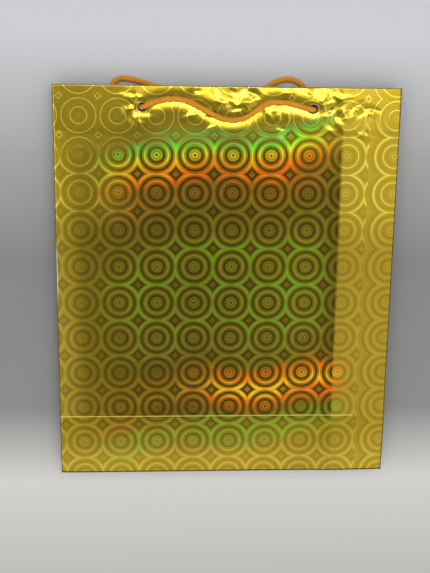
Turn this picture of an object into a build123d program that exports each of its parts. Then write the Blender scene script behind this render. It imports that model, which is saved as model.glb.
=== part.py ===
from build123d import *
import math
import os

# Gift bag of metallised paper with two cord handles, folded flat as it is sold, lying on its back.
# X runs across the bag, Y from its bottom edge to its mouth, Z out of the front face.
# The origin lies under the middle of the paper body, on the surface the bag lies on.

# Driving dimensions, mm
width = 260.0
height = 306.0
depth = 90.0
paper = 0.3
card = 0.5
base_card = 0.6
hem_drop = 35.0
card_drop = 32.0
hem_inset = 17.0
hole_spread = 128.0
hole_drop = 16.0
hole_diameter = 6.5
cord_diameter = 4.0
cord_clearance = 0.3
cord_lie_gap = 0.35
fold_gap = 0.85
edge_gap = 0.1
corner_offset = 0.75
gusset_offset = 0.25
gusset_spring = 6.8
facet_gap = 0.9
base_drop = 0.45
corner_trim = 6.0
seam_width = 15.0
seam_inset = 8.0
flap_inset = 3.0
base_card_inset = 4.0
knot_length = 10.0
knot_width = 10.0
knot_thickness = 7.0
knot_room = 8.75
knot_stagger = 15.0
aglet_length = 20.0
aglet_diameter = 4.4

# Places worked out from them
bottom = -height / 2
mouth = height / 2
side = width / 2
cord_radius = cord_diameter / 2
fold_line = bottom + depth / 2
gusset_half = depth / 2 - corner_offset
rest_angle = math.degrees(math.asin(gusset_spring / (2 * gusset_half)))
hem_top = mouth - edge_gap
hole_line = mouth - hole_drop

# Heights of the folded layers, from the lowest up
base_mid = paper / 2
flap_mid = base_mid + paper
base_card_low = flap_mid + paper / 2
facet_mid = base_card_low + base_card + fold_gap + paper / 2
lower_mid = facet_mid + paper + fold_gap
back_mid = lower_mid + paper + fold_gap
front_mid = back_mid + 2 * corner_offset + gusset_spring

# The base turns about a line that keeps it just under the bottom edges once the bag is open
base_shift = lower_mid - base_mid - base_drop


def slab(x_low, x_high, y_low, y_high, z_low, z_high):
    """A flat sheet between two corners."""
    size = Box(x_high - x_low, y_high - y_low, z_high - z_low)
    return Pos((x_low + x_high) / 2, (y_low + y_high) / 2, (z_low + z_high) / 2) * size


def flat_polygon(points, z_mid, thickness):
    """A sheet of the given outline, half its thickness each side of z_mid."""
    outline = make_face(Polyline(*points, close=True))
    return Pos(0, 0, z_mid - thickness / 2) * extrude(outline, thickness)


def punched(sheet):
    """The sheet with the two cord holes through it."""
    for x in (-hole_spread / 2, hole_spread / 2):
        sheet -= Pos(x, hole_line, (back_mid + front_mid) / 2) * Cylinder(hole_diameter / 2, depth)
    return sheet


def wall_hem(panel_mid, inward):
    """The turned-over top edge of a wall: a strip behind the card, closed by a lip at the mouth."""
    near = panel_mid + inward * (paper / 2 + card)
    far = near + inward * paper
    low, high = min(near, far), max(near, far)
    reach = side - hem_inset
    strip = slab(-reach, reach, mouth - hem_drop, hem_top, low, high)
    face = panel_mid + inward * paper / 2
    lip = slab(-reach, reach, hem_top - paper, hem_top, min(face, far), max(face, far))
    return punched(strip + lip)


def wall_card(panel_mid, inward):
    """The stiffening card between a wall and its hem."""
    near = panel_mid + inward * paper / 2
    far = near + inward * card
    reach = side - hem_inset
    top = hem_top - paper - edge_gap
    return punched(slab(-reach, reach, mouth - card_drop, top, min(near, far), max(near, far)))


def gusset_sheet(outline, hand, hinge_z, slope, offset):
    """A sheet in the plane of a gusset half. The outline gives (distance from the corner, height)."""
    points = [(-distance, rise) for distance, rise in outline]
    sheet = make_face(Polyline(*points, close=True))
    solid = Pos(0, 0, offset - paper / 2) * extrude(sheet, paper)
    right_hand = Pos(side, 0, hinge_z) * Rot(0, slope, 0) * solid
    return right_hand if hand > 0 else mirror(right_hand, about=Plane.YZ)


def gusset_pair(hand):
    """The front and back halves of one gusset, each with its hem."""
    last = gusset_half - edge_gap
    first = 2 * edge_gap
    back_low = fold_line + facet_gap / 2
    rise = bottom + corner_offset + facet_gap
    back_outline = [(first, back_low), (last, back_low), (last, hem_top), (first, hem_top)]
    front_outline = [(first, rise + first), (last, rise + last), (last, hem_top), (first, hem_top)]
    hem_outline = [
        (hem_inset, mouth - hem_drop),
        (last - paper, mouth - hem_drop),
        (last - paper, hem_top),
        (hem_inset, hem_top),
    ]
    back_hinge = back_mid + corner_offset
    front_hinge = front_mid - corner_offset
    back_offset = -gusset_offset
    front_offset = gusset_offset
    return {
        "back_half": gusset_sheet(back_outline, hand, back_hinge, rest_angle, back_offset),
        "back_hem": gusset_sheet(hem_outline, hand, back_hinge, rest_angle, back_offset - paper),
        "front_half": gusset_sheet(front_outline, hand, front_hinge, -rest_angle, front_offset),
        "front_hem": gusset_sheet(hem_outline, hand, front_hinge, -rest_angle, front_offset + paper),
    }


def base_corner(hand):
    """The triangle that stands up from a side of the base, folded in flat on it."""
    plane = side - gusset_offset
    near = bottom + base_shift + facet_gap
    far = bottom + base_shift + depth - facet_gap
    apex = (plane - depth / 2 + facet_gap, (near + far) / 2)
    points = [(plane, near), apex, (plane, far - corner_trim)]
    return flat_polygon([(hand * x, y) for x, y in points], facet_mid, paper)


def heel_corner(hand):
    """The triangle below a gusset's back half, down to the slanting edge of the base triangle."""
    first = 2 * edge_gap
    top = fold_line + facet_gap / 2 - edge_gap
    rise = bottom + corner_offset + facet_gap
    outline = [(first, rise + first), (top - rise, top), (first, top)]
    return gusset_sheet(outline, hand, back_mid + corner_offset, rest_angle, -gusset_offset)


def cord(route, name):
    """A tube along straight runs joined by arcs, each as large as its two runs allow."""
    places = [Vector(*point) for point in route]
    radii = []
    for before, here, after in zip(places, places[1:], places[2:]):
        turn = math.radians((here - before).get_angle(after - here))
        shorter = min((here - before).length, (after - here).length)
        radii.append(0.45 * shorter / math.tan(turn / 2))
    path = FilletPolyline(*route, radius=radii)
    tube = sweep(Plane(path @ 0, z_dir=path % 0) * Circle(cord_radius), path=path)
    section = math.pi * cord_radius**2
    ratio = tube.volume / (section * path.length)
    print(name, "length", round(path.length, 1), "volume ratio", round(ratio, 4))
    print(name, "radii", [round(radius, 1) for radius in radii])
    return tube


# Front handle: it lies on the front wall and dips between its holes
front_lie = front_mid + paper / 2 + 0.5 + cord_radius
front_stub = front_mid - paper / 2 - card - paper - 2.2
FRONT_HANDLE = [
    (-64.7, hole_line, front_stub),
    (-64.7, hole_line, front_lie - 2.6),
    (-62.2, hole_line + 0.9, front_lie),
    (-54.0, hole_line + 4.5, front_lie),
    (-44.0, hole_line + 6.8, front_lie),
    (-32.0, hole_line + 6.0, front_lie),
    (-19.0, hole_line - 0.5, front_lie),
    (-7.0, hole_line - 7.2, front_lie),
    (4.0, hole_line - 9.0, front_lie),
    (14.0, hole_line - 6.6, front_lie),
    (23.0, hole_line + 0.6, front_lie),
    (33.0, hole_line + 5.2, front_lie),
    (44.0, hole_line + 4.6, front_lie),
    (54.0, hole_line + 2.0, front_lie),
    (62.2, hole_line - 0.4, front_lie),
    (64.7, hole_line - 0.6, front_lie - 2.6),
    (64.7, hole_line - 0.6, front_stub),
]

# Back handle: it lies under the back wall, and two humps of it stand past the mouth
back_lie = back_mid - paper / 2 - cord_lie_gap - cord_radius
BACK_HANDLE = [
    (-64.0, hole_line, back_mid - paper / 2 - 0.2),
    (-65.4, hole_line + 0.3, back_lie),
    (-70.5, hole_line + 1.4, back_lie),
    (-79.0, hole_line + 2.8, back_lie),
    (-85.0, hole_line + 8.0, back_lie),
    (-86.6, hole_line + 15.5, back_lie),
    (-83.0, hole_line + 20.6, back_lie),
    (-75.0, hole_line + 20.8, back_lie),
    (-65.0, hole_line + 18.6, back_lie),
    (-53.0, hole_line + 14.8, back_lie),
    (-38.0, hole_line + 10.4, back_lie),
    (-22.0, hole_line + 7.4, back_lie),
    (-6.0, hole_line + 6.6, back_lie),
    (9.0, hole_line + 7.8, back_lie),
    (21.0, hole_line + 10.4, back_lie),
    (29.5, hole_line + 15.0, back_lie),
    (37.0, hole_line + 20.2, back_lie),
    (46.5, hole_line + 22.2, back_lie),
    (55.5, hole_line + 19.0, back_lie),
    (60.8, hole_line + 10.6, back_lie),
    (63.0, hole_line + 2.6, back_lie),
    (64.0, hole_line, back_mid - paper / 2 - 0.2),
]

front_inside = front_mid - paper / 2 - card - paper - cord_clearance - cord_radius
back_inside = back_mid + paper / 2 + card + paper + cord_clearance + cord_radius
knot_mid = (back_mid + front_mid) / 2

# The back knots lie clear of the gussets' creases, and the front knots clear of the back ones
back_knot_x = side - gusset_half - knot_width / 2 - knot_room
front_knot_x = back_knot_x - knot_stagger


def tail_route(hand, start_x, knot_x, start_drop, knot_drop, z):
    """A cord end inside the bag, from beside its hole past its knot to its tip."""
    sway = (knot_x - start_x) / 3
    return [
        (hand * start_x, hole_line - start_drop, z),
        (hand * (start_x + sway), hole_line - start_drop - 9.0, z),
        (hand * (start_x + 2.4 * sway), hole_line - start_drop - 20.0, z),
        (hand * knot_x, hole_line - knot_drop + 8.0, z),
        (hand * (knot_x + 0.4), hole_line - knot_drop - 8.0, z),
        (hand * (knot_x - 0.6), hole_line - knot_drop - 20.0, z),
    ]


def cord_end(wall, hand):
    """One cord end with the knot that stops it at the hole and the tip that binds it."""
    if wall == "front":
        route = tail_route(hand, 61.0, front_knot_x, 4.5, 54.0, front_inside)
    else:
        route = tail_route(hand, 67.4, back_knot_x, 4.5, 38.0, back_inside)
    word = f"{wall}_{'right' if hand > 0 else 'left'}"
    tube = cord(route, f"{word}_cord_end")
    knot_x = (route[3][0] + route[4][0]) / 2
    knot_y = (route[3][1] + route[4][1]) / 2
    block = Box(knot_width, knot_length, knot_thickness)
    block = fillet(block.edges(), knot_thickness * 0.35)
    knot = Pos(knot_x, knot_y, knot_mid) * block - tube
    end, last = Vector(*route[-1]), Vector(*route[-2])
    tip = Plane(end, z_dir=end - last) * Pos(0, 0, aglet_length / 2) * Cylinder(aglet_diameter / 2, aglet_length)
    return {f"{word}_cord_end": tube, f"{word}_knot": knot, f"{word}_aglet": tip}


def walls():
    """The front wall, the two parts of the back wall, their cards and hems."""
    lower_far = bottom + depth - edge_gap
    return {
        "front_panel": punched(slab(-side, side, bottom, mouth, front_mid - paper / 2, front_mid + paper / 2)),
        "front_card": wall_card(front_mid, -1),
        "front_hem": wall_hem(front_mid, -1),
        "back_panel": punched(slab(-side, side, fold_line, mouth, back_mid - paper / 2, back_mid + paper / 2)),
        "back_card": wall_card(back_mid, 1),
        "back_hem": wall_hem(back_mid, 1),
        "back_lower_panel": slab(
            -side, side, fold_line + edge_gap, lower_far, lower_mid - paper / 2, lower_mid + paper / 2
        ),
    }


def base():
    """The base panel, the flap glued over it and the card laid in it."""
    near = bottom + base_shift + edge_gap
    far = bottom + base_shift + depth - edge_gap
    reach = side - edge_gap
    inner = reach - flap_inset
    card_reach = reach - base_card_inset
    flap_low, flap_high = near + flap_inset, far - flap_inset
    card_low, card_high = near + base_card_inset, far - base_card_inset
    return {
        "base_panel": slab(-reach, reach, near, far, base_mid - paper / 2, base_mid + paper / 2),
        "base_flap": slab(-inner, inner, flap_low, flap_high, flap_mid - paper / 2, flap_mid + paper / 2),
        "base_card": slab(
            -card_reach, card_reach, card_low, card_high, base_card_low, base_card_low + base_card
        ),
    }


def seam_tab():
    """The glue tab down the left back corner, inside the gusset."""
    low = fold_line + 2 * facet_gap
    first = seam_inset
    last = first + seam_width
    top = mouth - hem_drop - facet_gap
    outline = [(first, low), (last, low), (last, top), (first, top)]
    return gusset_sheet(outline, -1, back_mid + corner_offset, rest_angle, -gusset_offset - paper)


nodes = {**walls(), **base(), "side_seam_tab": seam_tab()}
for hand, word in ((1, "right"), (-1, "left")):
    for part_name, solid in gusset_pair(hand).items():
        nodes[f"{word}_gusset_{part_name}"] = solid
    nodes[f"{word}_base_corner"] = base_corner(hand)
    nodes[f"{word}_heel_corner"] = heel_corner(hand)
    for wall in ("front", "back"):
        nodes.update(cord_end(wall, hand))
nodes["front_handle"] = cord(FRONT_HANDLE, "front_handle")
nodes["back_handle"] = cord(BACK_HANDLE, "back_handle")

os.makedirs("parts", exist_ok=True)
for node_name, solid in nodes.items():
    export_step(solid, f"parts/{node_name}.step")
print(len(nodes), "nodes, rest angle", round(rest_angle, 3))
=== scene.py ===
import bpy
import bmesh
import math
import numpy as np
from mathutils import Matrix, Vector


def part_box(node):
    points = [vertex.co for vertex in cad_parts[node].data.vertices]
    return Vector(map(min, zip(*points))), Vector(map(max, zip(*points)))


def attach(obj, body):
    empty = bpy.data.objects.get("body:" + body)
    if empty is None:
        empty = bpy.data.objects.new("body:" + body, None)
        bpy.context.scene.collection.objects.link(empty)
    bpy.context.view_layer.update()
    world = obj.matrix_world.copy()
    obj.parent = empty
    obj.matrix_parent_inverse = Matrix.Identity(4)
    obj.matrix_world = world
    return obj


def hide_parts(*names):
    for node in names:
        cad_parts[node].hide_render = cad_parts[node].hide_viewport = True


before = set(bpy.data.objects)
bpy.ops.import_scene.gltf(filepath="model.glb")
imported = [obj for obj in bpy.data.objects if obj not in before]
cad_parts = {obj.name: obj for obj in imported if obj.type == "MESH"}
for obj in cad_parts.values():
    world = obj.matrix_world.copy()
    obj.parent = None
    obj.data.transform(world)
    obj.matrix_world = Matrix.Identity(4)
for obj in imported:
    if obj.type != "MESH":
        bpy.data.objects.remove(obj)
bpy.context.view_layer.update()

# The camera looks down on the front of the bag, leaning in from above its mouth, through a
# medium long lens. Its place is measured from the middle of the bag.
camera_data = bpy.data.cameras.new("camera")
camera_data.sensor_fit = "VERTICAL"
camera_data.sensor_height = 36.0
camera_data.lens = 57.7
camera = bpy.data.objects.new("camera", camera_data)
bpy.context.collection.objects.link(camera)
eye = Vector((-0.0499, 0.1604, 0.7067))
aim = Vector((-0.0075, -0.0020, 0.0))
camera.location = eye
camera.rotation_mode = "QUATERNION"
sight = (aim - eye).normalized()
right = sight.cross(Vector((0, 1, 0))).normalized()
roll = 0.0132
right = right * math.cos(roll) + right.cross(sight) * math.sin(roll)
upward = right.cross(sight)
camera.rotation_quaternion = Matrix((right, upward, -sight)).transposed().to_quaternion()
bpy.context.scene.camera = camera


# The two handles and the four ends inside the bag are 4 mm cord of three twisted strands of
# satin polyester. Each handle lies between its holes; each end runs from its hole to a tip.
cord_diameter = 0.004
cord_lay = 0.013


def route_curve(name, points):
    """The cord's line: a quadratic NURBS with the route's points as its control points."""
    data = bpy.data.curves.new(name, "CURVE")
    data.dimensions = "3D"
    data.resolution_u = 14
    spline = data.splines.new("NURBS")
    spline.points.add(len(points) - 1)
    spline.points.foreach_set("co", np.c_[np.array(points), np.ones(len(points))].ravel())
    spline.order_u = 3
    spline.use_endpoint_u = True
    return bpy.data.objects.new(name, data)


def line_of(points):
    """The points along the smooth line, as the curve itself gives them, evenly spaced."""
    curve = route_curve("line_reader", points)
    bpy.context.collection.objects.link(curve)
    bpy.context.view_layer.update()
    depsgraph = bpy.context.evaluated_depsgraph_get()
    mesh = bpy.data.meshes.new_from_object(curve.evaluated_get(depsgraph))
    line = np.empty(len(mesh.vertices) * 3)
    mesh.vertices.foreach_get("co", line)
    line = line.reshape(-1, 3)
    bpy.data.objects.remove(curve)
    bpy.data.meshes.remove(mesh)
    far = np.r_[0, np.cumsum(np.linalg.norm(np.diff(line, axis=0), axis=1))]
    even = np.linspace(0, far[-1], max(12, int(far[-1] / 0.0006)))
    return np.stack([np.interp(even, far, line[:, axis]) for axis in range(3)], axis=1)


def grid_faces(rows, columns, wrap):
    """The corner numbers of each quad of a grid, closed round its columns where it wraps."""
    across = np.arange(columns if wrap else columns - 1)
    down = np.arange(rows - 1)[:, None]
    here = down * columns + across
    beside = down * columns + (across + 1) % columns
    return np.stack([here, beside, beside + columns, here + columns], axis=-1).reshape(-1, 4)


def mesh_piece(name, points, faces, uv=None):
    """A new object from arrays of points and quads, shaded smooth, with an optional UV map."""
    mesh = bpy.data.meshes.new(name)
    mesh.from_pydata(points.tolist(), [], faces.tolist())
    mesh.polygons.foreach_set("use_smooth", np.ones(len(mesh.polygons), bool))
    if uv is not None:
        layer = mesh.uv_layers.new(name="UVMap")
        layer.data.foreach_set("uv", uv.reshape(-1, 2).ravel())
    mesh.update()
    piece = bpy.data.objects.new(name, mesh)
    bpy.context.collection.objects.link(piece)
    return piece


def face_outwards(piece, weld=False):
    """Turn a closed piece's faces outwards, after joining points that lie on one another."""
    shell = bmesh.new()
    shell.from_mesh(piece.data)
    if weld:
        bmesh.ops.remove_doubles(shell, verts=shell.verts, dist=1e-5)
    bmesh.ops.recalc_face_normals(shell, faces=shell.faces)
    shell.to_mesh(piece.data)
    shell.free()


def twisted_cord(name, line, hint):
    """A tube round the line whose radius has three lobes that turn once every lay: the radius is
    the cord's, less a groove where the cosine of three times the turned angle is lowest."""
    turns = 30
    tangent = np.gradient(line, axis=0)
    tangent /= np.linalg.norm(tangent, axis=1, keepdims=True)
    side = np.cross(np.array(hint, float), tangent)
    side /= np.linalg.norm(side, axis=1, keepdims=True)
    up = np.cross(tangent, side)
    far = np.r_[0, np.cumsum(np.linalg.norm(np.diff(line, axis=0), axis=1))]
    angle = np.linspace(0, 2 * np.pi, turns, endpoint=False)
    turned = angle[None, :] - 2 * np.pi * far[:, None] / cord_lay
    lobe = np.abs(np.cos(1.5 * turned))
    radius = cord_diameter / 2 * (0.80 + 0.20 * np.sqrt(lobe))
    ring = line[:, None, :] + radius[..., None] * (
        np.cos(angle)[None, :, None] * side[:, None, :] + np.sin(angle)[None, :, None] * up[:, None, :]
    )
    rows = len(line)
    faces = grid_faces(rows, turns, True)
    step = far[1]
    row_of = faces // turns
    column_of = faces % turns
    wrapped = (column_of == 0) & (np.roll(column_of, 1, axis=1).max(axis=1) == turns - 1)[:, None]
    around = (column_of + turns * wrapped) / turns
    uv = np.stack([row_of * step / cord_lay, around], axis=-1)
    piece = mesh_piece(name, ring.reshape(-1, 3), faces, uv)
    shell = bmesh.new()
    shell.from_mesh(piece.data)
    bmesh.ops.contextual_create(shell, geom=[edge for edge in shell.edges if edge.is_boundary][:turns])
    bmesh.ops.holes_fill(shell, edges=[edge for edge in shell.edges if edge.is_boundary], sides=turns)
    bmesh.ops.recalc_face_normals(shell, faces=shell.faces)
    shell.to_mesh(piece.data)
    shell.free()
    return piece


def cord_material():
    """Orange satin yarn: fine diagonal fibres along the twist, with painted shade darker down in the grooves
    and blotches of random tone.
    """
    material = bpy.data.materials.new("orange_satin_cord")
    material.use_nodes = True
    nodes, links = material.node_tree.nodes, material.node_tree.links
    shader = nodes["Principled BSDF"]
    shader.inputs["Roughness"].default_value = 0.42
    shader.inputs["Specular IOR Level"].default_value = 0.25
    shader.inputs["Sheen Weight"].default_value = 0.08
    shader.inputs["Sheen Roughness"].default_value = 0.4
    coordinates = nodes.new("ShaderNodeTexCoord")
    turn = nodes.new("ShaderNodeMapping")
    turn.inputs["Scale"].default_value = (3.0, 14.0, 1.0)
    turn.inputs["Rotation"].default_value = (0.0, 0.0, 0.62)
    yarn = nodes.new("ShaderNodeTexWave")
    yarn.inputs["Scale"].default_value = 1.4
    yarn.inputs["Distortion"].default_value = 1.6
    yarn.inputs["Detail"].default_value = 3.0
    links.new(coordinates.outputs["UV"], turn.inputs["Vector"])
    links.new(turn.outputs["Vector"], yarn.inputs["Vector"])
    blotch = nodes.new("ShaderNodeTexNoise")
    blotch.inputs["Scale"].default_value = 160.0
    links.new(coordinates.outputs["Object"], blotch.inputs["Vector"])
    # Painted shade: the yarn's grooves, low in the wave, take the darker orange; the blotches add random tone
    colours = nodes.new("ShaderNodeValToRGB")
    colours.color_ramp.elements[0].color = (0.50, 0.150, 0.003, 1)
    colours.color_ramp.elements[1].color = (0.92, 0.37, 0.008, 1)
    both = nodes.new("ShaderNodeMath")
    both.operation = "MULTIPLY_ADD"
    both.inputs[1].default_value = 0.6
    links.new(yarn.outputs["Fac"], both.inputs[0])
    half = nodes.new("ShaderNodeMath")
    half.operation = "MULTIPLY"
    half.inputs[1].default_value = 0.7
    links.new(blotch.outputs["Fac"], half.inputs[0])
    links.new(half.outputs[0], both.inputs[2])
    links.new(both.outputs[0], colours.inputs["Fac"])
    links.new(colours.outputs["Color"], shader.inputs["Base Color"])
    bump = nodes.new("ShaderNodeBump")
    bump.inputs["Strength"].default_value = 0.55
    bump.inputs["Distance"].default_value = 0.0003
    links.new(yarn.outputs["Fac"], bump.inputs["Height"])
    links.new(bump.outputs["Normal"], shader.inputs["Normal"])
    return material


cord_orange = cord_material()
front_low, front_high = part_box("front_panel")
back_low, back_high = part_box("back_panel")
mouth = front_high[1]
bottom = front_low[1]
hole_line = mouth - 0.016
hole_x = 0.064
front_lie = front_high[2] + 0.0025
front_stub = front_low[2] - 0.003
FRONT_HANDLE = [
    (-0.0647, hole_line, front_stub),
    (-0.0647, hole_line, front_lie - 0.0026),
    (-0.0622, hole_line + 0.0009, front_lie),
    (-0.0540, hole_line + 0.0045, front_lie),
    (-0.0440, hole_line + 0.0068, front_lie),
    (-0.0320, hole_line + 0.0060, front_lie),
    (-0.0190, hole_line - 0.0005, front_lie),
    (-0.0070, hole_line - 0.0072, front_lie),
    (0.0040, hole_line - 0.0090, front_lie),
    (0.0140, hole_line - 0.0066, front_lie),
    (0.0230, hole_line + 0.0006, front_lie),
    (0.0330, hole_line + 0.0052, front_lie),
    (0.0440, hole_line + 0.0046, front_lie),
    (0.0540, hole_line + 0.0020, front_lie),
    (0.0622, hole_line - 0.0004, front_lie),
    (0.0647, hole_line - 0.0006, front_lie - 0.0026),
    (0.0647, hole_line - 0.0006, front_stub),
]
back_face = back_low[2]
back_lie = cord_diameter / 2
BACK_HANDLE = [
    (-0.0640, hole_line, back_face - 0.0002),
    (-0.0654, hole_line + 0.0003, back_lie),
    (-0.0705, hole_line + 0.0014, back_lie),
    (-0.0790, hole_line + 0.0028, back_lie),
    (-0.0850, hole_line + 0.0080, back_lie),
    (-0.0866, hole_line + 0.0155, back_lie),
    (-0.0830, hole_line + 0.0206, back_lie),
    (-0.0750, hole_line + 0.0208, back_lie),
    (-0.0650, hole_line + 0.0186, back_lie),
    (-0.0530, hole_line + 0.0148, back_lie),
    (-0.0380, hole_line + 0.0104, back_lie),
    (-0.0220, hole_line + 0.0074, back_lie),
    (-0.0060, hole_line + 0.0066, back_lie),
    (0.0090, hole_line + 0.0078, back_lie),
    (0.0210, hole_line + 0.0104, back_lie),
    (0.0295, hole_line + 0.0150, back_lie),
    (0.0370, hole_line + 0.0202, back_lie),
    (0.0465, hole_line + 0.0222, back_lie),
    (0.0555, hole_line + 0.0190, back_lie),
    (0.0608, hole_line + 0.0106, back_lie),
    (0.0630, hole_line + 0.0026, back_lie),
    (0.0640, hole_line, back_face - 0.0002),
]


def lay_cord(name, node, body, route, hint):
    """A cord along its route: its mesh, finish and body, with the CAD part it stands for hidden."""
    line = line_of(route)
    piece = twisted_cord(name, line, hint)
    piece.data.materials.append(cord_orange)
    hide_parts(node)
    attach(piece, body)
    return line


front_line = lay_cord(
    "front_handle_rope", "front_handle", "front_handle", FRONT_HANDLE, (0, 1, 0)
)
lay_cord("back_handle_rope", "back_handle", "back_handle", BACK_HANDLE, (0, 0, 1))


# Each cord end is stopped inside its wall by an overhand knot, and its tip is bound by a black
# plastic sleeve shrunk on to it. The knots lie staggered, so that the folded bag stays thin, and
# the cord is pulled a little thinner where it is knotted.
tight_radius = cord_diameter * 0.42


def knot_mesh(name, low, high):
    """A closed overhand knot: the trefoil line, sin t + 2 sin 2t against cos t - 2 cos 2t with
    the height -sin 3t, fitted to the knot's box, with a round tube drawn along it."""
    middle = (np.array(low) + np.array(high)) / 2
    room = (np.array(high) - np.array(low)) / 2 - tight_radius
    t = np.linspace(0, 2 * np.pi, 140, endpoint=False)
    line = np.stack(
        [
            room[0] * (np.sin(t) + 2 * np.sin(2 * t)) / 3,
            room[1] * (np.cos(t) - 2 * np.cos(2 * t)) / 3,
            -room[2] * np.sin(3 * t),
        ],
        axis=1,
    )
    tangent = np.roll(line, -1, axis=0) - np.roll(line, 1, axis=0)
    tangent /= np.linalg.norm(tangent, axis=1, keepdims=True)
    side = np.cross([0.0, 0.0, 1.0], tangent)
    side /= np.linalg.norm(side, axis=1, keepdims=True)
    up = np.cross(tangent, side)
    angle = np.linspace(0, 2 * np.pi, 20, endpoint=False)
    lobe = np.sqrt(np.abs(np.cos(1.5 * angle[None, :] - 6 * t[:, None])))
    radius = tight_radius * (0.84 + 0.16 * lobe)
    tube = line[:, None, :] + radius[..., None] * (
        np.cos(angle)[None, :, None] * side[:, None, :] + np.sin(angle)[None, :, None] * up[:, None, :]
    )
    rows = len(t)
    faces = grid_faces(rows + 1, len(angle), True) % (rows * len(angle))
    uv = np.stack([faces // len(angle) / 8, faces % len(angle) / len(angle)], axis=-1)
    piece = mesh_piece(name, (tube + middle).reshape(-1, 3), faces, uv)
    face_outwards(piece)
    piece.data.materials.append(cord_orange)
    return piece


def sleeve_material():
    """Black shrink sleeve, glossy, with faint ripples round it."""
    material = bpy.data.materials.new("black_shrink_sleeve")
    material.use_nodes = True
    nodes, links = material.node_tree.nodes, material.node_tree.links
    shader = nodes["Principled BSDF"]
    shader.inputs["Roughness"].default_value = 0.28
    coordinates = nodes.new("ShaderNodeTexCoord")
    ripple = nodes.new("ShaderNodeTexNoise")
    ripple.inputs["Scale"].default_value = 420.0
    shade = nodes.new("ShaderNodeValToRGB")
    shade.color_ramp.elements[0].color = (0.008, 0.008, 0.009, 1)
    shade.color_ramp.elements[1].color = (0.03, 0.03, 0.033, 1)
    bump = nodes.new("ShaderNodeBump")
    bump.inputs["Strength"].default_value = 0.3
    bump.inputs["Distance"].default_value = 0.0002
    links.new(coordinates.outputs["Object"], ripple.inputs["Vector"])
    links.new(ripple.outputs["Fac"], shade.inputs["Fac"])
    links.new(shade.outputs["Color"], shader.inputs["Base Color"])
    links.new(ripple.outputs["Fac"], bump.inputs["Height"])
    links.new(bump.outputs["Normal"], shader.inputs["Normal"])
    return material


sleeve_black = sleeve_material()


def sleeve_mesh(name, start, heading, length, radius):
    """A sleeve turned about its line: full bore along its length, rounded in at both ends, with
    three faint crimps where the radius dips by a cosine."""
    along = np.r_[0, 0, 0.02, np.linspace(0.05, 0.95, 40), 0.98, 1, 1]
    swell = np.ones(len(along)) - 0.06 * np.maximum(0, np.cos(2 * np.pi * 3 * along)) ** 6
    swell[[0, -1]] = 1e-3
    swell[[1, -2]] = 0.80
    swell[[2, -3]] = 0.95
    angle = np.linspace(0, 2 * np.pi, 24, endpoint=False)
    heading = heading / np.linalg.norm(heading)
    side = np.cross([0.0, 0.0, 1.0], heading)
    side /= np.linalg.norm(side)
    up = np.cross(heading, side)
    out = np.cos(angle)[:, None] * side + np.sin(angle)[:, None] * up
    body = start + along[:, None, None] * length * heading + (radius * swell)[:, None, None] * out[None]
    piece = mesh_piece(name, body.reshape(-1, 3), grid_faces(len(along), len(angle), True))
    face_outwards(piece, weld=True)
    piece.data.materials.append(sleeve_black)
    return piece


off_wall = 0.0031
sleeve_length = 0.020
sleeve_radius = 0.0022
for wall, start_x, knot_x, knot_drop, end_length, lie in (
    ("front", 0.0610, 0.0570, 0.054, 0.0698, front_low[2] - off_wall),
    ("back", 0.0674, 0.0720, 0.038, 0.0539, back_high[2] + off_wall),
):
    for word, hand in (("left", -1), ("right", 1)):
        sway = (knot_x - start_x) / 3
        route = [
            (hand * start_x, hole_line - 0.0045, lie),
            (hand * (start_x + sway), hole_line - 0.0135, lie),
            (hand * (start_x + 2.4 * sway), hole_line - 0.0245, lie),
            (hand * knot_x, hole_line - knot_drop + 0.008, lie),
            (hand * (knot_x + 0.0004), hole_line - knot_drop - 0.008, lie),
            (hand * (knot_x - 0.0006), hole_line - knot_drop - 0.020, lie),
        ]
        stem = f"{wall}_{word}"
        knot = knot_mesh(f"{stem}_overhand_knot", *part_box(f"{stem}_knot"))
        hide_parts(f"{stem}_knot")
        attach(knot, wall)
        tip = np.array(route[-1])
        heading = tip - np.array(route[-2])
        sleeve = sleeve_mesh(f"{stem}_sleeve", tip, heading, sleeve_length, sleeve_radius)
        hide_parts(f"{stem}_aglet")
        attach(sleeve, wall)
        lay_cord(
            f"{stem}_end_rope", f"{stem}_cord_end", wall, route, (0, 0, 1),
        )


# Gold holographic film laminated to the outside of the paper. It is embossed with a square
# lattice of fine rings, and a web seam near the right edge shifts the lattice sideways.
wall_width = 0.26
wall_height = 0.306
pitch = 0.0288
first_column = -wall_width / 2 + 0.66 * pitch
row_pitch = 0.0285
first_row = mouth - 0.775 * pitch
last_column = first_column + 7 * pitch
web_seam = last_column + 0.58 * pitch
column_past_seam = last_column + 1.27 * pitch


# Where the pleat's fold and the base's fold print through the wall
pleat_print = 0.0862
base_print = bottom + 0.048
score_end = 0.104

# Two sets of rings are embossed one over the other, and which one lights up depends on the
# light's angle: the thin set in the top rows, the broad set everywhere else. Each stop is a
# distance from the ring's centre, in pitches, and how bright the film is there.
BROAD_RINGS = [
    (0.0, 0.30), (0.02, 0.20), (0.045, 0.60), (0.065, 0.68), (0.085, 0.38), (0.12, 0.54), (0.155, 0.44),
    (0.185, 0.07), (0.215, 0.07), (0.24, 0.46), (0.275, 0.42), (0.305, 0.86), (0.33, 0.58), (0.35, 0.34),
    (0.37, 0.50), (0.39, 0.08), (0.42, 0.08), (0.445, 0.46), (0.48, 0.50), (0.51, 0.92), (0.535, 0.70),
    (0.575, 0.42), (0.60, 0.10), (0.63, 0.12), (0.655, 0.46), (0.69, 0.40), (0.74, 0.52),
]
THIN_RINGS = [
    (0.0, 0.70), (0.03, 0.45), (0.055, 0.62), (0.07, 0.45), (0.19, 0.44), (0.215, 1.0), (0.235, 0.48),
    (0.42, 0.44), (0.445, 1.0), (0.465, 0.50), (0.53, 0.46), (0.58, 0.50), (0.62, 0.46), (0.655, 0.86),
    (0.675, 0.45), (0.74, 0.50),
]
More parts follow.
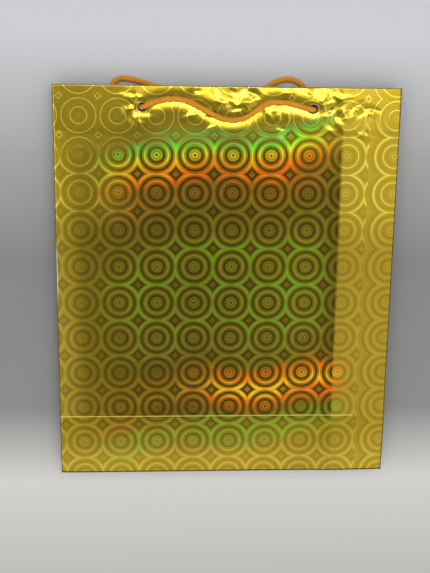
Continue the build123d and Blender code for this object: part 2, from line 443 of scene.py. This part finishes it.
# The painted rainbow, for the light the grating throws: each stop is a height up the wall, as a share of it,
# with the colour painted there and then how strongly it shows.
PAINTED_RAINBOW = [
    (0.00, (0.62, 0.56, 0.03)), (0.05, (0.80, 0.50, 0.03)), (0.085, (0.08, 0.50, 0.01)),
    (0.145, (0.10, 0.50, 0.02)), (0.17, (0.75, 0.10, 0.0)), (0.205, (1.0, 0.14, 0.0)),
    (0.2285, (1.0, 0.56, 0.02)), (0.25, (1.0, 0.26, 0.0)), (0.28, (1.0, 0.10, 0.0)),
    (0.31, (0.40, 0.34, 0.02)), (0.35, (0.14, 0.44, 0.03)), (0.45, (0.06, 0.52, 0.02)),
    (0.60, (0.08, 0.50, 0.01)), (0.66, (0.22, 0.36, 0.02)), (0.72, (0.62, 0.13, 0.01)),
    (0.775, (0.80, 0.04, 0.0)), (0.797, (1.0, 0.13, 0.0)), (0.822, (1.0, 0.38, 0.0)),
    (0.842, (0.90, 0.80, 0.02)), (0.862, (0.10, 0.88, 0.02)), (0.888, (0.02, 0.60, 0.12)),
    (0.905, (0.45, 0.50, 0.05)), (1.0, (0.75, 0.58, 0.04)),
]
PAINTED_RAINBOW_STRENGTH = [
    (0.00, 0.0), (0.06, 0.10), (0.085, 0.50), (0.14, 0.50), (0.165, 0.35), (0.18, 0.60), (0.205, 1.0),
    (0.23, 1.0), (0.25, 0.90), (0.275, 0.90), (0.295, 0.40), (0.315, 0.15), (0.36, 0.40), (0.50, 0.52),
    (0.60, 0.50), (0.66, 0.20), (0.70, 0.15), (0.722, 0.20), (0.741, 0.50), (0.757, 0.25), (0.77, 0.35),
    (0.79, 0.95), (0.83, 1.0), (0.865, 1.0), (0.885, 0.70), (0.905, 0.08), (1.0, 0.0),
]


def number(nodes, links, operation, *values):
    """A maths node: each value is a plain number or another node's output."""
    node = nodes.new("ShaderNodeMath")
    node.operation = operation
    for socket, value in zip(node.inputs, values):
        if isinstance(value, (int, float)):
            socket.default_value = value
        else:
            links.new(value, socket)
    return node.outputs[0]


def ramp(nodes, links, source, stops):
    """A colour ramp with the given (place, colour) stops. A plain number stands for a grey."""
    node = nodes.new("ShaderNodeValToRGB")
    strip = node.color_ramp
    strip.elements[0].position, strip.elements[1].position = stops[0][0], stops[-1][0]
    for place, _ in stops[1:-1]:
        strip.elements.new(place)
    for element, (_, colour) in zip(strip.elements, stops):
        element.color = (colour, colour, colour, 1) if isinstance(colour, float) else (*colour, 1)
    links.new(source, node.inputs["Fac"])
    return node.outputs["Color"]


def blend_of(nodes, links, factor, first, second, kind="RGBA"):
    """A mix of two colours, or of two numbers, by the factor."""
    node = nodes.new("ShaderNodeMix")
    node.data_type = kind
    ends = (node.inputs[6], node.inputs[7]) if kind == "RGBA" else (node.inputs[2], node.inputs[3])
    for socket, value in zip((node.inputs[0], *ends), (factor, first, second)):
        if isinstance(value, bpy.types.NodeSocket):
            links.new(value, socket)
        else:
            socket.default_value = value
    return node.outputs[2] if kind == "RGBA" else node.outputs[0]


def noise_of(nodes, links, vector, scale, detail):
    """A noise pattern over the given coordinates."""
    node = nodes.new("ShaderNodeTexNoise")
    node.inputs["Scale"].default_value = scale
    node.inputs["Detail"].default_value = detail
    links.new(vector, node.inputs["Vector"])
    return node.outputs["Fac"]


def ring_film(name, with_painted_light):
    """Rings: the distance from the nearest lattice point runs through a ramp of bright and dark rings, which
    sets the colour and the emboss. On the front, painted shade darkens the middle of the wall as far as the
    pleat's print, painted brighter rings stand for the lamps mirrored near the top and the foot, and a
    painted rainbow changes with height up the wall, and a little with the place within each ring, as a
    grating spreads the light;
    the edges stay plain gold."""
    material = bpy.data.materials.new(name)
    material.use_nodes = True
    nodes, links = material.node_tree.nodes, material.node_tree.links
    shader = nodes["Principled BSDF"]
    shader.inputs["Metallic"].default_value = 1.0
    shader.inputs["Specular IOR Level"].default_value = 0.05
    shader.inputs["Coat Weight"].default_value = 0.25
    shader.inputs["Coat Roughness"].default_value = 0.10

    def maths(operation, *values):
        return number(nodes, links, operation, *values)

    def stops(source, places):
        return ramp(nodes, links, source, places)

    def blend(factor, first, second, kind="RGBA"):
        return blend_of(nodes, links, factor, first, second, kind)

    coordinates = nodes.new("ShaderNodeTexCoord")
    place = nodes.new("ShaderNodeSeparateXYZ")
    spot = coordinates.outputs["Object"]
    links.new(spot, place.inputs[0])
    x, y = place.outputs["X"], place.outputs["Y"]
    past_seam = maths("GREATER_THAN", x, web_seam)
    column = maths("MULTIPLY_ADD", x, 1 / pitch, 0.5 - first_column / pitch)
    row = maths("MULTIPLY_ADD", y, 1 / row_pitch, 0.5 - first_row / row_pitch)
    across = maths("SUBTRACT", maths("FLOORED_MODULO", column, 1.0), 0.5)
    beyond = maths("MULTIPLY_ADD", x, 1 / pitch, -column_past_seam / pitch)
    across = blend(past_seam, across, beyond, "FLOAT")
    up = maths("SUBTRACT", maths("FLOORED_MODULO", row, 1.0), 0.5)
    square = maths("MULTIPLY_ADD", up, up, maths("MULTIPLY", across, across))
    away = maths("SQRT", square)
    broad = stops(away, BROAD_RINGS)
    thin = stops(away, THIN_RINGS)
    drift = noise_of(nodes, links, spot, 14.0, 2.0)
    patches = noise_of(nodes, links, spot, 34.0, 3.0)
    speck = noise_of(nodes, links, spot, 900.0, 1.0)
    if with_painted_light:
        # Painted light: the thin set shows above a line that falls a little from the right edge to the left
        lean = maths("MULTIPLY_ADD", x, -0.10, y)
        lean = maths("MULTIPLY_ADD", drift, 0.01, lean)
        high_up = maths("MULTIPLY_ADD", lean, 70.0, -7.95)
        high_up = maths("MINIMUM", maths("MAXIMUM", high_up, 0.0), 1.0)
        rings = blend(high_up, broad, thin)
        # The painted rainbow: its colour follows the height up the wall
        wander = maths("MULTIPLY_ADD", drift, 0.03, -0.015)
        height = maths("ADD", maths("MULTIPLY_ADD", up, 0.006, y), wander)
        left_skew = maths("MAXIMUM", maths("MULTIPLY_ADD", x, -0.30, -0.009), 0.0)
        right_skew = maths("MINIMUM", maths("MULTIPLY_ADD", x, -0.30, 0.0105), 0.0)
        height = maths("ADD", height, maths("ADD", left_skew, right_skew))
        share = maths("MULTIPLY_ADD", height, 1 / wall_height, 0.5)
        hue = stops(share, PAINTED_RAINBOW)
        strength = stops(share, PAINTED_RAINBOW_STRENGTH)
        # Painted shade over the middle, where the film mirrors the dark gap between the lamps: a soft left
        # edge, a sharp right edge at the pleat's print
        width = maths("MULTIPLY_ADD", x, 1 / wall_width, 0.5)
        rough_width = maths("MULTIPLY_ADD", patches, 0.10, maths("SUBTRACT", width, 0.05))
        level = maths("MULTIPLY_ADD", y, 1 / wall_height, 0.5)
        low_left = stops(rough_width, [(0.04, 0.38), (0.14, 0.74), (0.26, 0.97), (0.42, 1.0)])
        high_left = stops(rough_width, [(0.06, 0.0), (0.16, 0.18), (0.24, 0.90), (0.42, 1.0)])
        upper = stops(level, [(0.62, 0.0), (0.72, 1.0)])
        middle = blend(upper, low_left, high_left)
        print_edge = stops(width, [(0.8295, 1.0), (0.8330, 0.0)])
        # Below the score line the print ends, and the painted shade fades out to the right instead
        faded = stops(width, [(0.46, 1.0), (0.70, 0.45), (0.90, 0.0)])
        below_score = stops(level, [(0.135, 1.0), (0.160, 0.0)])
        edge = blend(below_score, print_edge, faded)
        # How strong the painted shade is up the wall
        tall = stops(
            level,
            [(0.0, 0.0), (0.050, 0.0), (0.075, 0.50), (0.14, 0.72), (0.30, 0.84), (0.60, 0.84),
             (0.68, 1.0), (0.79, 1.0), (0.83, 0.86), (0.872, 0.50), (0.885, 0.30), (1.0, 0.12)],
        )
        shade = maths("MULTIPLY", maths("MULTIPLY", middle, edge), tall)
        # The rings in painted shade: a darker copy of the film's colours
        dark = stops(
            rings, [(0.0, (0.070, 0.040, 0.002)), (0.5, (0.215, 0.155, 0.008)), (1.0, (0.38, 0.28, 0.014))]
        )
        # Painted reflection: a brighter copy of the rings for the lamps mirrored at the top and the foot, and
        # a dimmer copy elsewhere
        brightly_lit_rings = stops(
            rings, [(0.0, (0.38, 0.25, 0.011)), (0.5, (0.44, 0.31, 0.016)), (1.0, (0.90, 0.74, 0.08))]
        )
        dimly_lit_rings = stops(
            rings, [(0.0, (0.245, 0.155, 0.006)), (0.5, (0.36, 0.245, 0.011)), (1.0, (0.43, 0.31, 0.017))]
        )
        # How much painted reflection shows: all of it at the top, some at the foot
        painted_reflection_share = stops(level, [(0.0, 0.45), (0.16, 0.1), (0.60, 0.0), (0.72, 1.0), (1.0, 1.0)])
        light = blend(painted_reflection_share, dimly_lit_rings, brightly_lit_rings)
        ground = blend(shade, light, dark)
        bright = maths("MULTIPLY_ADD", rings, 2.2, -0.62)
        bright = maths("MINIMUM", maths("MAXIMUM", bright, 0.0), 1.0)
        # The low band of painted rainbow is strong on the right and faint on the left
        low_band = stops(width, [(0.10, 0.12), (0.34, 0.25), (0.52, 1.0), (0.84, 1.0), (0.89, 0.0)])
        high_band = stops(width, [(0.10, 0.0), (0.20, 0.85), (0.76, 1.0), (0.80, 0.55), (0.84, 0.0)])
        is_low = stops(level, [(0.10, 0.0), (0.14, 1.0), (0.29, 1.0), (0.315, 0.0)])
        sideways = blend(is_low, high_band, low_band)
        reach = maths("MULTIPLY", maths("MULTIPLY", strength, sideways), bright)
        patchy = stops(patches, [(0.32, 0.55), (0.55, 1.0)])
        reach = maths("MULTIPLY", reach, patchy)
        # In the green zone of the painted rainbow only the outermost ring is green: the inner rings and the
        # diamonds are brown
        inside = stops(away, [(0.34, 0.55), (0.44, 0.0), (0.57, 0.0), (0.61, 0.9)])
        green_zone = stops(level, [(0.31, 0.0), (0.37, 1.0), (0.62, 1.0), (0.68, 0.0)])
        brown = maths("MULTIPLY", inside, green_zone)
        hue = blend(brown, hue, (0.36, 0.22, 0.01, 1))
        colour = blend(reach, ground, hue)
        # A score line pressed across the wall over the base's fold, with a painted highlight: a bright gold
        # line along the crease
        off_score = maths("ABSOLUTE", maths("SUBTRACT", y, base_print))
        score = maths("LESS_THAN", off_score, 0.00045)
        score = maths("MULTIPLY", score, maths("LESS_THAN", x, score_end))
        colour = blend(maths("MULTIPLY", score, 0.6), colour, (0.80, 0.62, 0.14, 1))
        # Where the painted rainbow and the painted highlight show, the film is less metallic so that their
        # painted colour shows
        mirror = maths("MAXIMUM", reach, maths("MULTIPLY", score, 0.7))
        links.new(maths("SUBTRACT", 1.0, mirror), shader.inputs["Metallic"])
    else:
        rings = broad
        colour = stops(
            rings, [(0.0, (0.26, 0.17, 0.01)), (0.5, (0.46, 0.34, 0.02)), (1.0, (0.80, 0.64, 0.07))]
        )
    links.new(colour, shader.inputs["Base Color"])
    links.new(maths("MULTIPLY_ADD", speck, 0.12, 0.16), shader.inputs["Roughness"])
    bump = nodes.new("ShaderNodeBump")
    bump.inputs["Strength"].default_value = 0.22
    bump.inputs["Distance"].default_value = 0.0001
    links.new(rings, bump.inputs["Height"])
    grain = nodes.new("ShaderNodeBump")
    grain.inputs["Strength"].default_value = 0.10
    grain.inputs["Distance"].default_value = 0.0001
    links.new(speck, grain.inputs["Height"])
    links.new(bump.outputs["Normal"], grain.inputs["Normal"])
    links.new(grain.outputs["Normal"], shader.inputs["Normal"])
    return material


front_film = ring_film("gold_ring_film_front_painted_light", True)
plain_film = ring_film("gold_ring_film", False)


def paper_material(name, colour, flecks):
    """Uncoated stock: a soft off-white or grey with fibres a few millimetres long."""
    material = bpy.data.materials.new(name)
    material.use_nodes = True
    nodes, links = material.node_tree.nodes, material.node_tree.links
    shader = nodes["Principled BSDF"]
    shader.inputs["Roughness"].default_value = 0.85
    coordinates = nodes.new("ShaderNodeTexCoord")
    stretch = nodes.new("ShaderNodeMapping")
    stretch.inputs["Scale"].default_value = (1.0, 0.35, 1.0)
    fibre = nodes.new("ShaderNodeTexNoise")
    fibre.inputs["Scale"].default_value = 700.0
    fibre.inputs["Detail"].default_value = 4.0
    links.new(coordinates.outputs["Object"], stretch.inputs["Vector"])
    links.new(stretch.outputs["Vector"], fibre.inputs["Vector"])
    low = tuple(value * (1 - flecks) for value in colour)
    shade = ramp(nodes, links, fibre.outputs["Fac"], [(0.3, low), (0.7, colour)])
    links.new(shade, shader.inputs["Base Color"])
    bump = nodes.new("ShaderNodeBump")
    bump.inputs["Strength"].default_value = 0.25
    bump.inputs["Distance"].default_value = 0.0001
    links.new(fibre.outputs["Fac"], bump.inputs["Height"])
    links.new(bump.outputs["Normal"], shader.inputs["Normal"])
    return material


white_paper = paper_material("white_uncoated_paper", (0.80, 0.79, 0.75), 0.14)
grey_card = paper_material("grey_board", (0.42, 0.39, 0.34), 0.30)


# The front wall is the first panel of the one sheet the bag is folded from. Packed flat, it took
# the print of what lies under it: the pleat's fold, the base's fold, the cords and the knots.
paper = front_high[2] - front_low[2]
hole_radius = 0.00325


def bent_grid(columns, rows, holes):
    """A grid of points and its quads, pushed outwards round each hole so that a round opening is
    left: a point at distance r within 6 mm moves to the hole's radius plus its share of the rest."""
    x, y = np.meshgrid(columns, rows)
    points = np.stack([x.ravel(), y.ravel()], axis=1)
    faces = grid_faces(len(rows), len(columns), False)
    keep = np.ones(len(faces), bool)
    for centre in holes:
        nearest = points[np.argmin(np.linalg.norm(points - centre, axis=1))]
        offset = points - nearest
        away = np.linalg.norm(offset, axis=1, keepdims=True)
        rim = 0.006
        pushed = hole_radius + away * (rim - hole_radius) / rim
        inside = (away < rim)[:, 0]
        middle = away[:, 0] < 1e-6
        keep &= ~middle[faces].any(axis=1)
        points = np.where(inside[:, None], nearest + offset / np.maximum(away, 1e-9) * pushed, points)
    return points, faces[keep]


def crease(x, y, start, end, depth, spread):
    """A crease: a dent along the line from start to end, deepest at its middle, whose walls rise
    straight to nothing at the given spread, so that each wall turns the light its own way."""
    start, end = np.array(start), np.array(end)
    run = end - start
    share = ((x - start[0]) * run[0] + (y - start[1]) * run[1]) / (run @ run)
    off = np.abs((x - start[0]) * run[1] - (y - start[1]) * run[0]) / np.linalg.norm(run)
    taper = np.clip(4 * share * (1 - share), 0, None)
    return -depth * np.clip(1 - off / (spread * (0.25 + taper)), 0, None) * taper


# Where the top is crumpled: the middle of each patch, how many creases, and how far they spread
CRUMPLES = [
    (-0.070, mouth - 0.014, 16, 0.016), (-0.018, mouth - 0.010, 12, 0.020),
    (0.012, mouth - 0.012, 16, 0.016), (0.040, mouth - 0.022, 12, 0.016),
    (0.076, mouth - 0.014, 22, 0.016), (0.105, mouth - 0.018, 8, 0.014),
]


def front_relief(x, y):
    """The height of the front wall over its flat: a soft bow, the raised prints of the pleat and
    the base, a swell beside the cord, and the creases and bumps of the stiffened top, where
    nothing dips below the flat because the card lies close under it."""
    beyond = np.clip((x - pleat_print) / (wall_width / 2 - pleat_print), 0, 1)
    pleat = np.where(x > pleat_print, 1 - beyond, np.exp(-(pleat_print - x) / 0.010))
    below = np.clip((base_print - y) / 0.045, 0, 1)
    base = np.where(y < base_print, 1 - below, np.exp(-(y - base_print) / 0.008))
    left = np.clip((-0.110 - x) / 0.02, 0, 1) ** 1.5
    bow = 0.0005 * np.sin(np.pi * (x + wall_width / 2) / wall_width) * np.cos(np.pi * y / 0.36)
    wave = 0.00010 * np.sin(x * 61 + 0.7 * np.sin(y * 33)) * np.sin(y * 47 + 1.1)
    relief = bow + wave + 0.0011 * pleat + 0.0010 * base - 0.0005 * left
    reach = np.full(x.shape, 1.0)
    for point in front_line[::6]:
        reach = np.minimum(reach, np.hypot(x - point[0], y - point[1]))
    relief += 0.0008 * (np.exp(-((reach / 0.0120) ** 2)) - np.exp(-((reach / 0.0052) ** 2)))
    stiff = np.clip((y - (mouth - 0.036)) / 0.004, 0, 1)
    relief += 0.00022 * stiff
    generator = np.random.default_rng(7)
    for spot_x, spot_y, count, size in CRUMPLES:
        for _ in range(count):
            middle = np.array([spot_x, spot_y]) + generator.normal(0, size / 2, 2)
            heading = generator.uniform(0, np.pi)
            half = generator.uniform(0.003, 0.009) * np.array([np.cos(heading), np.sin(heading)])
            depth = generator.uniform(0.00015, 0.00050) * generator.choice([1, -1], p=[0.35, 0.65])
            relief += crease(x, y, middle - half, middle + half, depth, generator.uniform(0.0012, 0.003))
    return np.where(y > mouth - 0.034, np.maximum(relief, -0.00002), relief)


def line_with_paper(piece, film):
    """Film on the outer face and bare paper behind it, the sheet's thickness inwards."""
    piece.data.materials.append(film)
    piece.data.materials.append(white_paper)
    shell = piece.modifiers.new("thickness", "SOLIDIFY")
    shell.thickness = paper
    shell.offset = -1
    shell.material_offset = 1


columns = np.linspace(-wall_width / 2, wall_width / 2, 174)
rows = np.r_[np.linspace(bottom, mouth - 0.05, 140), np.linspace(mouth - 0.05, mouth, 52)[1:]]
flat, faces = bent_grid(columns, rows, [(-hole_x, hole_line), (hole_x, hole_line)])
relief = front_relief(flat[:, 0], flat[:, 1])
front_wall = mesh_piece("front_wall_sheet", np.c_[flat, front_high[2] + relief], faces)
line_with_paper(front_wall, front_film)
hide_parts("front_panel")
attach(front_wall, "front")


# The other panels are the rest of the same sheet: two walls behind, four pleat halves, and the facets that
# make the bottom.
# Film is outside and bare paper inside; the walls behind and the pleat halves are not quite flat, the base
# and the facets are.
def patch(name, corners, outward, node, body, holes=(), wave=0.00012, cell=0.004):
    """A four-cornered sheet: a blend of its corners over two shares, with a low wave across it
    that dies away at its edges, and its thickness inwards from the outer face."""
    corners = np.array(corners, float)
    wide = np.linalg.norm(corners[1] - corners[0])
    tall = np.linalg.norm(corners[3] - corners[0])
    tallest = max(tall, np.linalg.norm(corners[2] - corners[1]))
    u = np.linspace(0, 1, max(8, int(wide / cell)))
    v = np.linspace(0, 1, max(8, int(tallest / cell)))
    points, faces = bent_grid(u * wide, v * tall, holes)
    s, t = points[:, 0] / wide, points[:, 1] / tall
    weights = np.stack([(1 - s) * (1 - t), s * (1 - t), s * t, (1 - s) * t], axis=1)
    place = weights @ corners
    edge = (16 * s * (1 - s) * t * (1 - t)) ** 0.5
    seed = sum(map(ord, name)) % 17
    swell = wave * edge * np.sin(place[:, 0] * 70 + seed) * np.sin(place[:, 1] * 52 + 1.7 * seed)
    outward = np.array(outward, float) / np.linalg.norm(outward)
    piece = mesh_piece(name, place + swell[:, None] * outward, faces)
    sheet = bmesh.new()
    sheet.from_mesh(piece.data)
    bmesh.ops.remove_doubles(sheet, verts=sheet.verts, dist=1e-6)
    bmesh.ops.dissolve_degenerate(sheet, edges=sheet.edges, dist=1e-6)
    sheet.normal_update()
    facing = sum((face.normal * face.calc_area() for face in sheet.faces), Vector())
    if facing.dot(Vector(outward)) < 0:
        bmesh.ops.reverse_faces(sheet, faces=sheet.faces)
    area = sum(face.calc_area() for face in sheet.faces)
    sheet.to_mesh(piece.data)
    sheet.free()
    line_with_paper(piece, plain_film)
    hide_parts(node)
    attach(piece, body)


def level_corners(node, height):
    """The four corners of a level panel's outer face."""
    low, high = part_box(node)
    ends = ((low[0], low[1]), (high[0], low[1]), (high[0], high[1]), (low[0], high[1]))
    return [(x, y, height) for x, y in ends]


patch(
    "back_wall_sheet", level_corners("back_panel", back_low[2]), (0, 0, -1), "back_panel", "back",
    holes=[(wall_width / 2 + x, hole_line - back_low[1]) for x in (-hole_x, hole_x)], cell=0.0035,
)
patch(
    "lower_back_sheet", level_corners("back_lower_panel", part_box("back_lower_panel")[1][2]), (0, 0, 1),
    "back_lower_panel", "lower_back",
)
patch(
    "base_sheet", level_corners("base_panel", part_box("base_panel")[0][2]), (0, 0, -1), "base_panel", "base",
    wave=0.0,
)


def pleat_sheet(word, hand, half):
    """One half of a pleat, sloping from its corner of the bag to the fold in the middle."""
    node = f"{word}_gusset_{half}_half"
    low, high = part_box(node)
    outer, inner = (high[0], low[0]) if hand > 0 else (low[0], high[0])
    rise = high[2] - low[2] - paper
    lean = rise / (high[0] - low[0])
    if half == "back":
        outer_z, inner_z = high[2] - rise, high[2]
        floor = low[1]
        outward = (hand * lean, 0, 1)
    else:
        outer_z, inner_z = low[2] + rise, low[2]
        floor = low[1] + (high[0] - low[0])
        outward = (hand * lean, 0, -1)
    corners = [
        (outer, low[1], outer_z), (inner, floor, inner_z),
        (inner, high[1], inner_z), (outer, high[1], outer_z),
    ]
    patch(f"{word}_pleat_{half}_sheet", corners, outward, node, f"{word}_gusset_{half}", wave=0.00006)


def facet(name, corners, outward, node, body):
    """A three-cornered piece of the bottom, whose last corner is a pole closed to one point."""
    patch(name, [corners[0], corners[1], corners[2], corners[2]], outward, node, body, wave=0.0, cell=0.003)


# The base facet's side is trimmed short at its far end, so its tip stands at the middle of the
# whole side and not of the trimmed one.
whole_side = 0.0882
for word, hand in (("right", 1), ("left", -1)):
    for half in ("front", "back"):
        pleat_sheet(word, hand, half)
    low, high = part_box(f"{word}_base_corner")
    side, tip = (high[0], low[0]) if hand > 0 else (low[0], high[0])
    mid = low[1] + whole_side / 2
    facet(
        f"{word}_base_facet",
        [(side, low[1], high[2]), (side, high[1], high[2]), (tip, mid, high[2])],
        (0, 0, 1), f"{word}_base_corner", f"{word}_base_corner",
    )
    low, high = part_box(f"{word}_heel_corner")
    side, tip = (high[0], low[0]) if hand > 0 else (low[0], high[0])
    facet(
        f"{word}_heel_facet",
        [(side, low[1], low[2] + paper), (side, high[1], low[2] + paper), (tip, high[1], high[2])],
        (hand * (high[2] - low[2] - paper) / (high[0] - low[0]), 0, 1),
        f"{word}_heel_corner", f"{word}_gusset_back",
    )


# Inside: the turned-in hems are film, since the sheet is folded over the card. The cards that
# stiffen the mouth and the base are grey board, and the flap and the glue tab are bare paper.
film_nodes = ["front_hem", "back_hem"] + [
    f"{word}_gusset_{half}_hem" for word in ("left", "right") for half in ("front", "back")
]
finishes = {"base_flap": white_paper, "side_seam_tab": white_paper}
finishes.update({node: grey_card for node in ("front_card", "back_card", "base_card")})
finishes.update({node: plain_film for node in film_nodes})
for node, finish in finishes.items():
    for slot in bpy.data.objects[node].material_slots:
        slot.material = finish


# The floor is one pale sweep with painted light and shade along it: a painted glow just past the bag's foot,
# painted grey shade beside and under the bag, lighter again past its mouth, and it goes far past the view.
def floor_with_painted_light():
    """Pale matt paint whose grey carries painted light and shade, changing with the place along the floor."""
    material = bpy.data.materials.new("pale_floor_with_painted_light")
    material.use_nodes = True
    nodes, links = material.node_tree.nodes, material.node_tree.links
    shader = nodes["Principled BSDF"]
    shader.inputs["Roughness"].default_value = 0.7
    coordinates = nodes.new("ShaderNodeTexCoord")
    place = nodes.new("ShaderNodeSeparateXYZ")
    links.new(coordinates.outputs["Object"], place.inputs[0])
    share = number(nodes, links, "MULTIPLY_ADD", place.outputs["Y"], 1.6, 0.5)
    # Painted light and shade along the floor: a pale glow past the bag's foot, grey shade beside and under
    # the bag, lighter past its mouth
    shade = ramp(
        nodes, links, share,
        [(0.10, (0.50, 0.49, 0.46)), (0.235, (0.62, 0.61, 0.58)), (0.335, (0.235, 0.235, 0.225)),
         (0.53, (0.210, 0.210, 0.200)), (0.66, (0.34, 0.34, 0.33)), (0.80, (0.565, 0.57, 0.585))],
    )
    links.new(shade, shader.inputs["Base Color"])
    return material


floor_reach = 4.0
floor = mesh_piece(
    "floor",
    np.array([(-1, -1, 0), (1, -1, 0), (1, 1, 0), (-1, 1, 0)]) * floor_reach,
    np.array([(0, 1, 2, 3)]),
)
floor.data.materials.append(floor_with_painted_light())


# Soft boxes stand round the camera, and the gap between them is what the middle of the film
# mirrors; the film's sides, its top and its foot mirror the boxes.
def soft_box(name, place, size, power):
    """A rectangular area light facing the bag, not seen by the camera itself."""
    data = bpy.data.lights.new(name, "AREA")
    data.shape = "RECTANGLE"
    data.size, data.size_y = size
    data.energy = power
    light = bpy.data.objects.new(name, data)
    light.location = place
    light.rotation_mode = "QUATERNION"
    light.rotation_quaternion = Vector((-place[0], -place[1], -place[2])).to_track_quat("-Z", "Y")
    light.visible_camera = False
    bpy.context.collection.objects.link(light)


soft_box("soft_box_head", (0.0, 0.80, 1.40), (2.2, 1.0), 8.5)
soft_box("strip_light", (0.12, 0.36, 1.40), (0.7, 0.10), 4.0)
soft_box("soft_box_left", (-1.05, -0.30, 1.20), (1.1, 1.6), 5.8)
soft_box("soft_box_right", (1.05, -0.30, 1.20), (1.1, 1.6), 4.4)
soft_box("soft_box_foot", (0.0, -1.15, 1.30), (2.0, 0.8), 5.5)

world = bpy.data.worlds.new("studio")
world.use_nodes = True
world.node_tree.nodes["Background"].inputs["Color"].default_value = (0.75, 0.77, 0.80, 1)
world.node_tree.nodes["Background"].inputs["Strength"].default_value = 0.42
bpy.context.scene.world = world
bpy.context.scene.view_settings.view_transform = "Standard"
